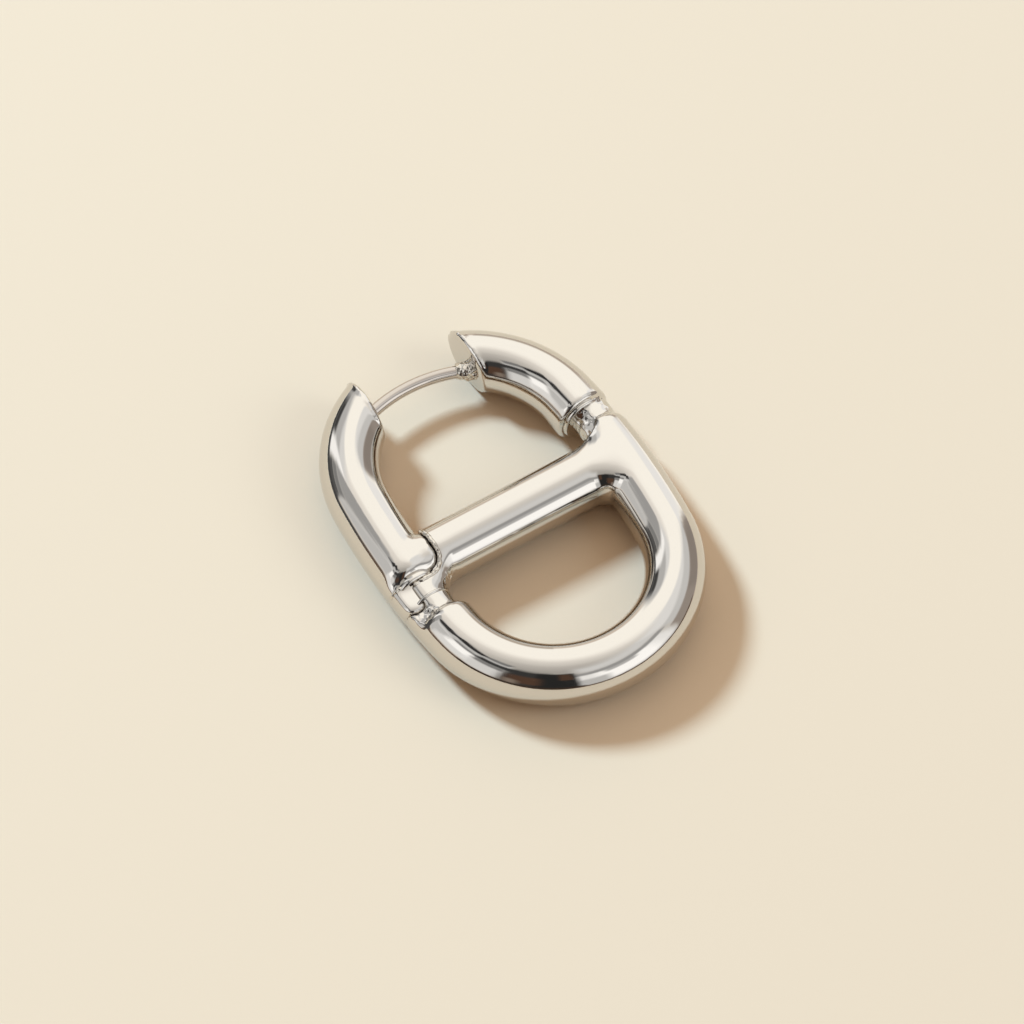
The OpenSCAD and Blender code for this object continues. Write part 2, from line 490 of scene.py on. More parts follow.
def seam(name: str, plan: Plan, under: bpy.types.Object, radius: float) -> bpy.types.Object:
    """Lays a thin bead of solder over a piece along a line seen from above.

    Args:
        name: Name of the bead.
        plan: The line.
        under: The piece that it lies on.
        radius: Radius of the bead.

    Returns:
        The bead.
    """
    mesh = under.data
    surface = BVHTree.FromPolygons([v.co for v in mesh.vertices], [f.vertices for f in mesh.polygons])
    hits = [surface.ray_cast(Vector((x, y, THROUGH)), Vector((0, 0, -1)))[0] for x, y in plan]
    points = [hit for hit in hits if hit is not None and hit.z > 0]
    curve = bpy.data.curves.new(name, "CURVE")
    curve.dimensions = "3D"
    curve.bevel_depth = radius
    curve.bevel_resolution = 3
    curve.use_fill_caps = True
    line = curve.splines.new("POLY")
    line.points.add(len(points) - 1)
    for corner, point in zip(line.points, points):
        corner.co = (*point, 1)
    take(placed(name, curve))
    bpy.ops.object.convert(target="MESH")
    piece = named(name)
    finish_modifier(piece, "REMESH", mode="VOXEL", voxel_size=radius / 3)
    return piece


def set_down(piece: bpy.types.Object, oval: Oval) -> None:
    """Moves a piece from the oval's centre to its place on the surface, in metres."""
    move(piece, Matrix.Scale(MM, 4) @ Matrix.Translation((0, oval.centre_y, oval.rod_r)))
    bpy.ops.object.shade_smooth()


def add_node(
    tree: bpy.types.NodeTree, kind: str, settings: dict | None = None, links: dict | None = None
) -> bpy.types.Node:
    """Adds a node with its settings and links.

    Args:
        tree: The node tree.
        kind: Type name of the node.
        settings: Property names, or socket names or numbers, with their values.
        links: Socket names or numbers of this node, with the output sockets that feed them.

    Returns:
        The new node.
    """
    node = tree.nodes.new(kind)
    for key, value in (settings or {}).items():
        if isinstance(key, str) and hasattr(node, key):
            setattr(node, key, value)
        else:
            node.inputs[key].default_value = value
    for key, source in (links or {}).items():
        tree.links.new(source, node.inputs[key])
    return node


@dataclass(frozen=True)
class Finish:
    """Looks of one metal surface.

    The wave is the faint unevenness that a polishing wheel leaves, which bends the mirrored edges.
    The grain varies the gloss between roughness and twice as much, and stands up by its depth.
    """

    name: str
    colour: str
    roughness: float
    wave_mm: float
    wave_depth: float
    grain_mm: float
    grain_depth: float
    drawn: float = 1.0
    dent_mm: float = 0.02
    grain_span: tuple[float, float] = (0.35, 0.75)

    def make(self) -> bpy.types.Material:
        """Makes the finish's material.

        Returns:
            The material, with its waves, grain and gloss from nodes.
        """
        material = bpy.data.materials.new(self.name)
        material.use_nodes = True
        tree = material.node_tree
        shader = tree.nodes["Principled BSDF"]
        shader.inputs["Base Color"].default_value = linear(self.colour)
        shader.inputs["Metallic"].default_value = 1.0
        place = add_node(tree, "ShaderNodeTexCoord").outputs["Object"]
        stretched = add_node(
            tree, "ShaderNodeMapping", {"Scale": (1, 1, self.drawn)}, {"Vector": place}
        )
        wave, grain = (
            add_node(
                tree,
                "ShaderNodeTexNoise",
                {"Scale": 1 / (size * MM), "Detail": detail},
                {"Vector": stretched.outputs["Vector"]},
            ).outputs["Fac"]
            for size, detail in ((self.wave_mm, 1.0), (self.grain_mm, 4.0))
        )
        low, high = self.grain_span
        gloss = add_node(
            tree,
            "ShaderNodeMapRange",
            {"From Min": low, "From Max": high, "To Min": self.roughness, "To Max": self.roughness * 2},
            {"Value": grain},
        )
        dents = add_node(
            tree,
            "ShaderNodeBump",
            {"Strength": self.wave_depth, "Distance": self.dent_mm * MM},
            {"Height": wave},
        )
        bump = add_node(
            tree,
            "ShaderNodeBump",
            {"Strength": self.grain_depth, "Distance": self.dent_mm * MM},
            {"Height": grain, "Normal": dents.outputs["Normal"]},
        )
        tree.links.new(gloss.outputs["Result"], shader.inputs["Roughness"])
        tree.links.new(bump.outputs["Normal"], shader.inputs["Normal"])
        return material


# A near-perfect mirror: the eye sees the studio in it, with edges that waver a little
RHODIUM = Finish(
    "rhodium_on_polished_brass",
    "#D8D4CE",
    roughness=0.045,
    wave_mm=2.4,
    wave_depth=0.05,
    grain_mm=0.35,
    grain_depth=0.0,
)

# The same plate over drawn wire, which is too thin to polish as flat: a little softer and greyer
WIRE_PLATE = Finish(
    "rhodium_on_drawn_wire",
    "#C6BEB6",
    roughness=0.07,
    wave_mm=0.8,
    wave_depth=0.05,
    grain_mm=0.12,
    grain_depth=0.02,
    drawn=0.1,
)

# Solder that set by itself under the plate: glints and specks instead of one clean mirror
SOLDER = Finish(
    "plated_solder",
    "#D6D0C6",
    roughness=0.1,
    wave_mm=0.3,
    wave_depth=0.3,
    grain_mm=0.06,
    grain_depth=0.25,
)

# Bare drawn steel in the hinge: grey, with fine lines along the pin
PIN_STEEL = Finish(
    "drawn_pin_steel",
    "#B4B2AE",
    roughness=0.2,
    wave_mm=0.5,
    wave_depth=0.05,
    grain_mm=0.05,
    grain_depth=0.2,
    drawn=0.05,
)


def coat(piece: bpy.types.Object, finish: Finish) -> None:
    """Gives a piece one finish, made once for all the pieces that share it.

    Args:
        piece: The piece, or a CAD node that stays.
        finish: The finish.
    """
    material = bpy.data.materials.get(finish.name) or finish.make()
    piece.data.materials.clear()
    piece.data.materials.append(material)


@dataclass(frozen=True)
class Web:
    """Smooth web where a bar runs into the side of a rod.

    Two eight-sided tubes are bridged and rounded by subdivision, as a caster's fillet would be.
    The rod runs along Y and the bar leaves it toward -X.
    """

    rod_r: float
    bar_r: float
    low: float
    high: float
    reach: float
    low_tail: float = 1.2
    high_tail: float = 1.2
    bar_tail: float = 1.2
    bend_r: float = 45.0
    sides: int = 8
    round_up: float = 1.1082
    rounds: int = 3

    def tube(self, radius: float, heights: Sequence[float], place: Matrix) -> bpy.types.Object:
        """Extrudes an open eight-sided tube through its rings.

        Args:
            radius: Radius of the rounded tube.
            heights: Heights of the rings.
            place: Where the tube goes, with its axis along Z.

        Returns:
            The open tube.
        """
        bpy.ops.object.select_all(action="DESELECT")
        bpy.ops.mesh.primitive_circle_add(
            vertices=self.sides,
            radius=radius * self.round_up,
            location=(0, 0, heights[0]),
            rotation=(0, 0, math.pi / self.sides),
        )
        piece = named("tube")
        bpy.ops.object.transform_apply()
        with edit(piece):
            for below, above in zip(heights, heights[1:]):
                bpy.ops.mesh.extrude_region_move(TRANSFORM_OT_translate={"value": (0, 0, above - below)})
        move(piece, place)
        return piece

    def build(self, place: Matrix) -> bpy.types.Object:
        """Models the web.

        Args:
            place: Moves the web from its own place, with the rod's axis through the origin.

        Returns:
            The closed, rounded web.
        """
        low, high = self.low, self.high
        ends = (low - self.low_tail, high + self.high_tail)
        rod = self.tube(
            self.rod_r,
            [ends[0], low - self.low_tail / 2, low, high, high + self.high_tail / 2, ends[1]],
            Matrix.Rotation(-math.pi / 2, 4, "X"),
        )
        bar = self.tube(
            self.bar_r,
            [self.reach, self.reach + self.bar_tail / 2, self.reach + self.bar_tail],
            Matrix.Rotation(-math.pi / 2, 4, "Y"),
        )
        with edit(rod, "FACE") as mesh:
            pick_faces(mesh, lambda at: low < at.y < high and at.x < -self.rod_r / 2)
            bpy.ops.mesh.delete(type="FACE")
        piece = joined("web", [rod, bar])
        with edit(piece, "EDGE") as mesh:
            bpy.ops.mesh.select_all(action="DESELECT")
            bpy.ops.mesh.select_non_manifold(extend=False, use_wire=False, use_boundary=True)
            bpy.ops.object.mode_set(mode="OBJECT")
            far = -self.reach - self.bar_tail
            for edge in mesh.edges:
                corners = [mesh.vertices[i].co for i in edge.vertices]
                at_end = any(abs(c.y - end) < NEAR for c in corners for end in ends)
                if at_end or all(abs(c.x - far) < NEAR for c in corners):
                    edge.select = False
            bpy.ops.object.mode_set(mode="EDIT")
            bpy.ops.mesh.bridge_edge_loops()
            bpy.ops.mesh.select_all(action="SELECT")
            bpy.ops.mesh.fill_holes(sides=0)
            bpy.ops.mesh.normals_make_consistent(inside=False)
        finish_modifier(piece, "SUBSURF", levels=self.rounds, render_levels=self.rounds)
        for corner in piece.data.vertices:
            corner.co.x -= corner.co.y**2 / (2 * self.bend_r)
        move(piece, place)
        return piece


@dataclass
class Joint:
    """Sizes of the hinge between the arm and the neck, in millimetres."""

    pin_out: float = 0.83
    pin_y: float = -2.15
    pin_r: float = 0.25
    tongue_r: float = 1.0
    tongue_top: float = 0.9
    lug_t: float = 0.7
    lug_z: float = -0.3
    lug_r: float = 0.5
    lug_wide: float = 0.8
    lug_root: float = 0.6
    lug_turn: float = 0.927
    strap: float = 8.0
    gap: float = 0.04
    pin_clear: float = 0.02
    pin_top: float = 0.6
    hole_steps: int = 48

    def pin_x(self, oval: Oval) -> float:
        """X of the pin."""
        return -oval.wide / 2 - self.pin_out

    def tongue_plan(self, oval: Oval, gap: float) -> Plan:
        """Outlines the tongue: a half disc about the pin and a strap to the arm.

        Args:
            oval: The link's oval.
            gap: How far the outline grows.

        Returns:
            The outline.
        """
        x, r = self.pin_x(oval), self.tongue_r + gap
        end = x - self.strap
        return [*arc_plan((x, self.pin_y), r, -math.pi, 0), (x + r, 0), (end, 0), (end, self.pin_y)]

    def pin_hole(self, oval: Oval, clear: float) -> bpy.types.Object:
        """Tool for the pin's blind hole."""
        place = Matrix.Translation((self.pin_x(oval), self.pin_y, 0))
        return barrel(self.pin_r + clear, -THROUGH, self.pin_top, place, self.hole_steps)


@dataclass
class Foot:
    """Sizes of the hinged arm's foot and of the room that it swings in."""

    station: float = 1.5
    collar_w: float = 0.2
    collar_r: float = 1.45
    rounding: float = 0.9
    stub_r: float = 1.68
    stub_rim: float = 0.12
    stub_len: float = 3.5
    gap: float = 0.04
    draft: float = 0.1
    tail: float = 3.55
    seam_out: float = 0.15
    seam_wide: float = 1.04
    seam_deep: float = 1.21
    seam_start: float = -1.75
    seam_step: float = 0.05
    seam_points: tuple[int, int, int] = (34, 32, 35)

    @property
    def dome(self) -> float:
        """Station at which the foot starts to round."""
        return self.station - self.collar_w - self.rounding

    def plan(self, oval: Oval, gap: float) -> Plan:
        """Outline of the arm, grown by a gap: a rounded foot and a tail that widens along the bend."""
        half, rounding = oval.rod_r + gap, self.rounding + gap
        return [
            (half + self.draft, -self.tail),
            *arc_plan((half - rounding, 0), rounding, 0, math.pi / 2),
            *arc_plan((rounding - half, 0), rounding, math.pi / 2, math.pi),
            (-half - self.draft, -self.tail),
        ]

    def place(self, oval: Oval) -> Matrix:
        """Where the outline lies: X outward and Y down the neck, from the start of the rounding."""
        return (
            Matrix.Rotation(math.pi, 4, "Z")
            @ Matrix.Translation((-oval.side_c, 0, 0))
            @ Matrix.Rotation(self.dome / oval.side_r, 4, "Z")
            @ Matrix.Translation((oval.side_r, 0, 0))
        )

    def block(self, oval: Oval, gap: float) -> bpy.types.Object:
        """Upright block on the arm's outline."""
        return prism(self.plan(oval, gap), -THROUGH, THROUGH, self.place(oval))

    def seam_line(self, oval: Oval) -> Plan:
        """Draws the line of the solder bead along the edge of the arm's room.

        Args:
            oval: The link's oval.

        Returns:
            The line from above: beside the arm, round the corner and across below the foot.
        """
        half, wide, deep, step = oval.rod_r + self.seam_out, self.seam_wide, self.seam_deep, self.seam_step
        up, turn, over = self.seam_points
        beside = [(-half, self.seam_start + step * i) for i in range(up)]
        angles = [math.pi / 2 * i / turn for i in range(turn + 1)]
        corner = [(wide - half - wide * math.cos(a), deep * math.sin(a)) for a in angles]
        across = [(wide - half + step * i, deep) for i in range(1, over + 1)]
        return self.laid([*beside, *corner, *across], oval)

    def laid(self, line: Plan, oval: Oval) -> Plan:
        """Moves a line from the foot's own place to where the foot lies."""
        spots = [self.place(oval) @ Vector((x, y, 0)) for x, y in line]
        return [(spot.x, spot.y) for spot in spots]


@dataclass
class Assembly:
    """A sub-assembly that stands for one CAD node and rides on that node's body."""

    node: ClassVar[str]
    body: ClassVar[Body]
    slot: ClassVar[Slot]
    finish: ClassVar[Finish]

    oval: Oval = field(default_factory=Oval)
    right_face_x: float = 3.3

    def build(self) -> list[bpy.types.Object]:
        """Models the pieces about the oval's centre, the CAD node's stand-in first."""
        raise NotImplementedError

    def dress(self) -> None:
        """Builds the pieces, sets them on the surface and gives each one its finish."""
        pieces = self.build()
        for piece in pieces:
            finish = SOLDER if "solder" in piece.name else self.finish
            set_down(piece, self.oval)
            coat(piece, finish)
            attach(piece, self.body.value)
            LOG.info("%s: %d faces, %s", piece.name, len(piece.data.polygons), finish.name)
        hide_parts(self.node)


@dataclass
class Casting(Assembly):
    """A sub-assembly cast from brass on the link's oval."""

    finish = RHODIUM

    joint: Joint = field(default_factory=Joint)
    foot: Foot = field(default_factory=Foot)
    bar_r: float = 1.725
    neck_r: float = 1.225
    left_shoulder: float = 3.8
    rim: float = 0.3
    rim_steps: int = 6
    end_rings: int = 64
    ring_round: float = 0.14
    ring_steps: int = 8

    def side(self, low: float, high: float, left: bool) -> bpy.types.Object:
        """Bends a rod along a side of the oval.

        Args:
            low: Station at which it starts.
            high: Station at which it ends.
            left: Whether it is on the left side.

        Returns:
            The rod.
        """
        oval = self.oval
        turn = math.pi if left else 0.0
        centre = (-oval.side_c * math.cos(turn), 0, 0)
        return bent_rod(
            centre, oval.side_r, turn + low / oval.side_r, turn + high / oval.side_r, oval.rod_r
        )

    def end(self, start: float, end: float, lower: bool) -> bpy.types.Object:
        """Bends a rod round a tight end of the oval.

        Args:
            start: Angle at which it starts.
            end: Angle at which it ends.
            lower: Whether it is the lower end.

        Returns:
            The rod.
        """
        oval = self.oval
        turn = math.pi if lower else 0.0
        centre = (0, -oval.end_c if lower else oval.end_c, 0)
        return bent_rod(centre, oval.end_r, turn + start, turn + end, oval.rod_r, self.end_rings)

    def trim(self, piece: bpy.types.Object, x: float, keep_left: bool) -> None:
        """Saws a piece off at an upright plane across the crossbar's line, and rounds the rim.

        Args:
            piece: The piece.
            x: Where the plane stands.
            keep_left: Whether what lies left of the plane stays.
        """
        with edit(piece, "FACE") as mesh:
            bpy.ops.mesh.bisect(
                plane_co=(x, 0, 0),
                plane_no=(1 if keep_left else -1, 0, 0),
                use_fill=True,
                clear_outer=True,
            )
            pick_faces(mesh, lambda at: abs(at.x - x) < AT_CUT)
            bpy.ops.mesh.bevel(offset=self.rim, segments=self.rim_steps, affect="EDGES")
            face_outward()


@dataclass
class LinkCasting(Casting):
    """Lower loop, crossbar, necks and fixed arm, which are one casting.

    A web has its lower and upper end on the rod and its reach along the bar. A rubbed place has
    its centre, reach and rounds of smoothing, and a place with solder its centre, reach and depth.
    """

    node = "link_frame"
    body = Body.LINK
    slot = Slot.PLATE

    right_shoulder: float = 2.45
    shoulder_round: float = 0.6
    right_neck_out: float = 0.25
    left_neck_in: float = 0.1
    right_foot: float = 3.61
    foot_rim: float = 0.25
    right_neck: tuple[float, float] = (1.2, 4.0)
    left_neck_len: float = 2.9
    wall_short: float = 0.08
    collar_room: float = 0.6
    bead_r: float = 0.11
    bead_sink: float = 0.03
    bead_steps: int = 12
    bead_station: float = 2.65
    bar_end: float = 6.65
    web_in: float = 0.01
    wall_web_in: float = 0.015
    right_web: tuple[float, float, float] = (-1.9, 1.5, 2.2)
    right_web_tail: float = 0.3
    left_web: tuple[float, float, float] = (-0.9, 2.35, 2.2)
    voxel: float = 0.094
    passes: int = 11
    dimple: float = 0.3
    lip_r: float = 0.12
    lip_depth: float = 0.09
    hollow: tuple[float, float, float] = (5.95, 2.95, 1.35)
    rubbed: tuple[Point, float, int] = ((-8.2, -3.7, 0.8), 1.4, 40)
    solder: tuple[tuple[Point, float, float], ...] = (
        ((6.35, 2.6, 0.5), 1.3, 0.12),
        ((8.35, 3.4, 0.7), 0.9, 0.08),
        ((-8.1, -3.6, 0.9), 0.8, 0.12),
        ((-7.5, -3.75, 1.3), 0.5, 0.1),
        ((-5.7, -2.0, 0.4), 0.9, 0.08),
    )

    def loop(self) -> list[bpy.types.Object]:
        """Models the parts of the lower loop.

        Returns:
            The right side, the round end, the left side and the two shoulders.
        """
        oval, join = self.oval, self.oval.join_station
        right = self.right_shoulder - self.shoulder_round
        left = self.left_shoulder + self.shoulder_round
        shoulder = rounded_end(oval.rod_r, self.shoulder_round)
        return [
            self.side(-join - OVERLAP, right + OVERLAP, False),
            self.end(oval.join - OVERLAP_ANGLE, math.pi - oval.join + OVERLAP_ANGLE, True),
            self.side(left - OVERLAP, join + OVERLAP, True),
            turned(shoulder, oval.on_side(right)),
            turned(shoulder, oval.on_side(left, left=True) @ Matrix.Rotation(math.pi, 4, "X")),
        ]

    def crossbar(self) -> list[bpy.types.Object]:
        """Models the crossbar, with its webs into the right wall and the left neck.

        Returns:
            The bar, the right web and the left web.
        """
        half, web_r = self.oval.wide / 2, self.bar_r - self.web_in
        bar = barrel(self.bar_r, -self.bar_end, self.bar_end, Matrix.Rotation(math.pi / 2, 4, "Y"))
        wall_r = self.oval.rod_r - self.wall_web_in
        right = Web(wall_r, web_r, *self.right_web, high_tail=self.right_web_tail)
        left = Web(self.neck_r - self.web_in, web_r, *self.left_web)
        to_neck = Matrix.Translation((-half + self.left_neck_in, 0, 0)) @ Matrix.Rotation(math.pi, 4, "Z")
        return [bar, right.build(Matrix.Translation((half - OVERLAP, 0, 0))), left.build(to_neck)]

    def left_neck(self) -> list[bpy.types.Object]:
        """Models the left neck and the outer wall beside it, which the tongue meets.

        Returns:
            The neck and the wall.
        """
        oval, joint = self.oval, self.joint
        place = oval.on_side(self.foot.station, -self.left_neck_in, left=True)
        neck = barrel(self.neck_r, 0, self.left_neck_len, place)
        wall_end = self.left_shoulder + self.shoulder_round - self.wall_short
        wall = self.side(self.foot.station, wall_end, True)
        x, far = joint.pin_x(oval) + joint.tongue_r, -PAST_ALL
        box = prism([(far, far), (x, far), (x, 0), (far, 0)], far, joint.tongue_top)
        combine(wall, box, "INTERSECT")
        return [neck, wall]

    def lug(self) -> list[bpy.types.Object]:
        """Models the eye that stands between the tongue's cheeks.

        Returns:
            The eye alone.
        """
        joint = self.joint
        x, y = joint.pin_x(self.oval), joint.pin_y
        low, high = joint.lug_z - joint.lug_t / 2, joint.lug_z + joint.lug_t / 2
        half, root = joint.lug_wide / 2, x + joint.tongue_r + joint.lug_root
        plan = [
            *arc_plan((x, y), joint.lug_r, math.pi - joint.lug_turn, math.pi + joint.lug_turn),
            (root, y - half),
            (root, y + half),
        ]
        eye = prism(plan, low, high)
        combine(eye, joint.pin_hole(self.oval, joint.pin_clear), "DIFFERENCE")
        return [eye]

    def right_arm(self) -> list[bpy.types.Object]:
        """Models the fixed arm and its neck.

        Returns:
            The arm's side, foot and end, and the neck.
        """
        oval, join = self.oval, self.oval.join_station
        side = self.side(self.right_foot + self.foot_rim, join + OVERLAP, False)
        foot = turned(
            rounded_end(oval.rod_r, self.foot_rim),
            oval.on_side(self.right_foot + self.foot_rim) @ Matrix.Rotation(math.pi, 4, "X"),
        )
        end = self.end(oval.join - OVERLAP_ANGLE, math.pi / 2, False)
        self.trim(end, self.right_face_x, False)
        neck = barrel(self.neck_r, *self.right_neck, oval.on_side(0, self.right_neck_out))
        return [side, foot, end, neck]

    def build(self) -> list[bpy.types.Object]:
        """Models the casting, the rings turned on it and the solder at the arm's room.

        Returns:
            The casting, the right arm's collar, the left neck's bead and the lip of solder.
        """
        oval, gap = self.oval, self.foot.gap
        parts = [*self.loop(), *self.crossbar(), *self.left_neck()]
        x, y, r = self.hollow
        collar_place = oval.on_side(self.foot.station + gap, left=True)
        tools = [
            self.foot.block(oval, gap),
            barrel(self.foot.collar_r + gap, -self.collar_room, 0, collar_place),
            prism(self.joint.tongue_plan(oval, gap), -PAST_ALL, self.joint.tongue_top + gap),
            barrel(r, -THROUGH, THROUGH, Matrix.Translation((x, y, 0))),
        ]
        for part in parts:
            for tool in tools:
                finish_modifier(part, "BOOLEAN", object=tool, operation="DIFFERENCE", solver="EXACT")
        for tool in tools:
            bpy.data.objects.remove(tool)
        parts += [*self.lug(), *self.right_arm()]
        casting = joined("link_casting", parts)
        cast(casting, self.voxel, self.passes)
        soften(casting, *self.rubbed)
        for centre, reach, depth in self.solder:
            crinkle(casting, self.dimple, depth, centre, reach)
        lip = seam("solder_lip", self.foot.seam_line(oval), casting, self.lip_r)
        crinkle(lip, BEAD, self.lip_depth)
        return [casting, *self.rings(), lip]

    def rings(self) -> list[bpy.types.Object]:
        """Turns the right arm's collar and the left neck's bead.

        Returns:
            The collar and the bead.
        """
        oval, half = self.oval, self.bead_r
        lip = rounded_end(self.foot.collar_r, self.ring_round, corners=self.ring_steps)
        place = oval.on_side(self.right_foot - self.foot.collar_w + self.ring_round)
        collar = turned(lip, place @ Matrix.Rotation(math.pi, 4, "X"))
        named("right_arm_collar")
        arc = arc_plan((self.neck_r, 0), half, -math.pi / 2, math.pi / 2, self.bead_steps)
        bead = turned(
            [(0, -half), *[(r - self.bead_sink, z) for r, z in arc], (0, half)],
            oval.on_side(self.bead_station, -self.left_neck_in, left=True),
        )
        named("neck_bead")
        return [collar, bead]


@dataclass
class HingedArm(Casting):
    """The left arm, its foot, collar and tongue.

    A rubbed place has its centre, reach and rounds of smoothing.
    """

    node = "hinged_arm"
    body = Body.ARM
    slot = Slot.ARM_PLATE

    left_face_x: float = -3.2
    slot_r: float = 0.435
    slot_low: float = 9.483
    slot_high: float = 10.215
    slot_deep: float = 1.45
    tongue_in: float = 0.08
    eye_arc: tuple[float, float] = (0.7 * math.pi, 1.5 * math.pi)
    sharp: float = 0.6
    stub_steps: int = 5
    dome_steps: int = 24
    voxel: float = 0.08
    passes: int = 14
    ring_deep: float = 0.35
    bead_from: tuple[float, float] = (0.85, 0.92)
    bead_len: float = 0.85
    bead_gaps: int = 17
    bead_r: float = 0.09
    bead_depth: float = 0.08
    rubbed: tuple[tuple[Point, float, int], ...] = (
        ((-6.7, 0.2, 1.3), 1.9, 70),
        ((-7.2, -0.6, 1.3), 1.4, 120),
        ((-8.1, -0.8, 1.1), 1.0, 60),
    )
    rubbed_tongue: tuple[Point, float, int] = ((-8.4, -2.3, 0.9), 2.0, 80)

    def rod(self) -> list[bpy.types.Object]:
        """Models the arm without its tongue.

        Returns:
            The arm's end, side and domed foot, and the stub toward the crossbar.
        """
        oval, foot, join = self.oval, self.foot, self.oval.join_station
        end = self.end(math.pi / 2, math.pi - oval.join + OVERLAP_ANGLE, False)
        self.trim(end, self.left_face_x, True)
        combine(end, self.pocket(), "DIFFERENCE")
        side = self.side(-join - OVERLAP, foot.dome + OVERLAP, True)
        profile = rounded_end(oval.rod_r, foot.rounding, corners=self.dome_steps)
        dome = turned(profile, oval.on_side(foot.dome, left=True))
        place = Matrix.Translation((-oval.wide / 2, 0, 0)) @ Matrix.Rotation(math.pi / 2, 4, "Y")
        stub = barrel(foot.stub_r, 0, foot.stub_len, place)
        combine(stub, foot.block(oval, OVERLAP), "INTERSECT")
        finish_modifier(
            stub,
            "BEVEL",
            width=foot.stub_rim,
            segments=self.stub_steps,
            limit_method="ANGLE",
            angle_limit=self.sharp,
        )
        return [end, side, dome, stub]

    def tongue(self) -> bpy.types.Object:
        """Models the part of the outer wall that swings with the arm.

        Returns:
            The tongue, slotted for the eye and bored for the pin.
        """
        joint, far = self.joint, PAST_ALL
        wall = self.side(self.foot.dome + self.tongue_in, self.left_shoulder, True)
        combine(wall, prism(joint.tongue_plan(self.oval, 0), -far, joint.tongue_top), "INTERSECT")
        x, y = joint.pin_x(self.oval), joint.pin_y
        half_t, reach = joint.lug_t / 2 + joint.gap, joint.lug_r + joint.gap
        top = y + joint.lug_wide / 2 + joint.gap
        plan = [*arc_plan((x, y), reach, *self.eye_arc), (x, -far), (x + far, -far), (x + far, top)]
        combine(wall, prism(plan, joint.lug_z - half_t, joint.lug_z + half_t), "DIFFERENCE")
        combine(wall, joint.pin_hole(self.oval, joint.pin_clear), "DIFFERENCE")
        return wall

    def pocket(self) -> bpy.types.Object:
        """Models the tool for the slot in the end face that lets the wire's tip in and out.

        Returns:
            The tool.
        """
        r, quarter = self.slot_r, math.pi / 2
        plan = [
            *arc_plan((self.slot_low, 0), r, quarter, 3 * quarter),
            *arc_plan((self.slot_high, 0), r, -quarter, quarter),
        ]
        place = Matrix.Translation((self.left_face_x, 0, 0)) @ Matrix(
            ((0, 0, 1, 0), (1, 0, 0, 0), (0, 1, 0, 0), (0, 0, 0, 1))
        )
        return prism(plan, -self.slot_deep, self.slot_deep, place)

    def build(self) -> list[bpy.types.Object]:
        """Models the arm.

        Returns:
            The arm, its collar and the bead of solder at its foot.
        """
        arm = joined("hinged_arm_rod", [*self.rod(), self.tongue()])
        cast(arm, self.voxel, self.passes)
        for side in (-1, 1):
            for (x, y, z), reach, passes in self.rubbed:
                soften(arm, (x, y, z * side), reach, passes)
        soften(arm, *self.rubbed_tongue)
        lip = rounded_end(self.foot.collar_r, self.ring_round, self.ring_deep, self.ring_steps)
        collar = turned(lip, self.oval.on_side(self.foot.station - self.ring_round, left=True))
        named("arm_collar")
        x, y = self.bead_from
        step = self.bead_len / self.bead_gaps
        line = [(x + step * i, y) for i in range(self.bead_gaps + 1)]
        bead = seam("solder_bead", self.foot.laid(line, self.oval), arm, self.bead_r)
        crinkle(bead, BEAD, self.bead_depth)
        return [arm, collar, bead]


@dataclass
class EarWire(Assembly):
    """Thin curved wire between the arms, with the crinkled sleeve at its root."""

    node = "ear_post"
    body = Body.LINK
    slot = Slot.WIRE
    finish = WIRE_PLATE

    centre: tuple[float, float] = (-0.5, 2.05)
    bend_r: float = 8.6
    wire_r: float = 0.375
    tip_x: float = -4.15
    root_depth: float = 1.6
    rings: int = 96
    tip_steps: int = 16
    sleeve_r: float = 0.56
    sleeve_root: float = -0.3
    sleeve_full: float = 0.25
    sleeve_len: float = 0.85
    sleeve_taper: float = 0.14
    sleeve_voxel: float = 0.035
    sleeve_depth: float = 0.13

    def angle(self, x: float) -> float:
        """Angle on the wire's bend at an X."""
        return math.acos((x - self.centre[0]) / self.bend_r)

    def at(self, angle: float) -> Matrix:
        """Place of a turned shape on the wire, with its Z axis toward the tip."""
        return (
            Matrix.Translation((*self.centre, 0))
            @ Matrix.Rotation(angle, 4, "Z")
            @ Matrix.Translation((self.bend_r, 0, 0))
            @ Matrix.Rotation(-math.pi / 2, 4, "X")
        )

    def build(self) -> list[bpy.types.Object]:
        """Models the wire and its sleeve.

        Returns:
            The wire and the sleeve.
        """
        root = self.angle(self.right_face_x) - self.root_depth / self.bend_r
        tip = self.angle(self.tip_x)
        wire = bent_rod((*self.centre, 0), self.bend_r, root, tip, self.wire_r, self.rings)
        arc = arc_plan((0, 0), self.wire_r, -math.pi / 2, math.pi / 2, self.tip_steps)
        ball = turned(arc, self.at(tip))
        wire = joined("ear_wire", [wire, ball])
        r, low, full, top = self.sleeve_r, self.sleeve_root, self.sleeve_full, self.sleeve_len
        sleeve = turned(
            [(0, low), (r, low), (r, full), (r - self.sleeve_taper, top), (0, top)],
            self.at(self.angle(self.right_face_x)),
        )
        named("solder_sleeve")
        finish_modifier(sleeve, "REMESH", mode="VOXEL", voxel_size=self.sleeve_voxel)
        crinkle(sleeve, BEAD, self.sleeve_depth)
        return [wire, sleeve]


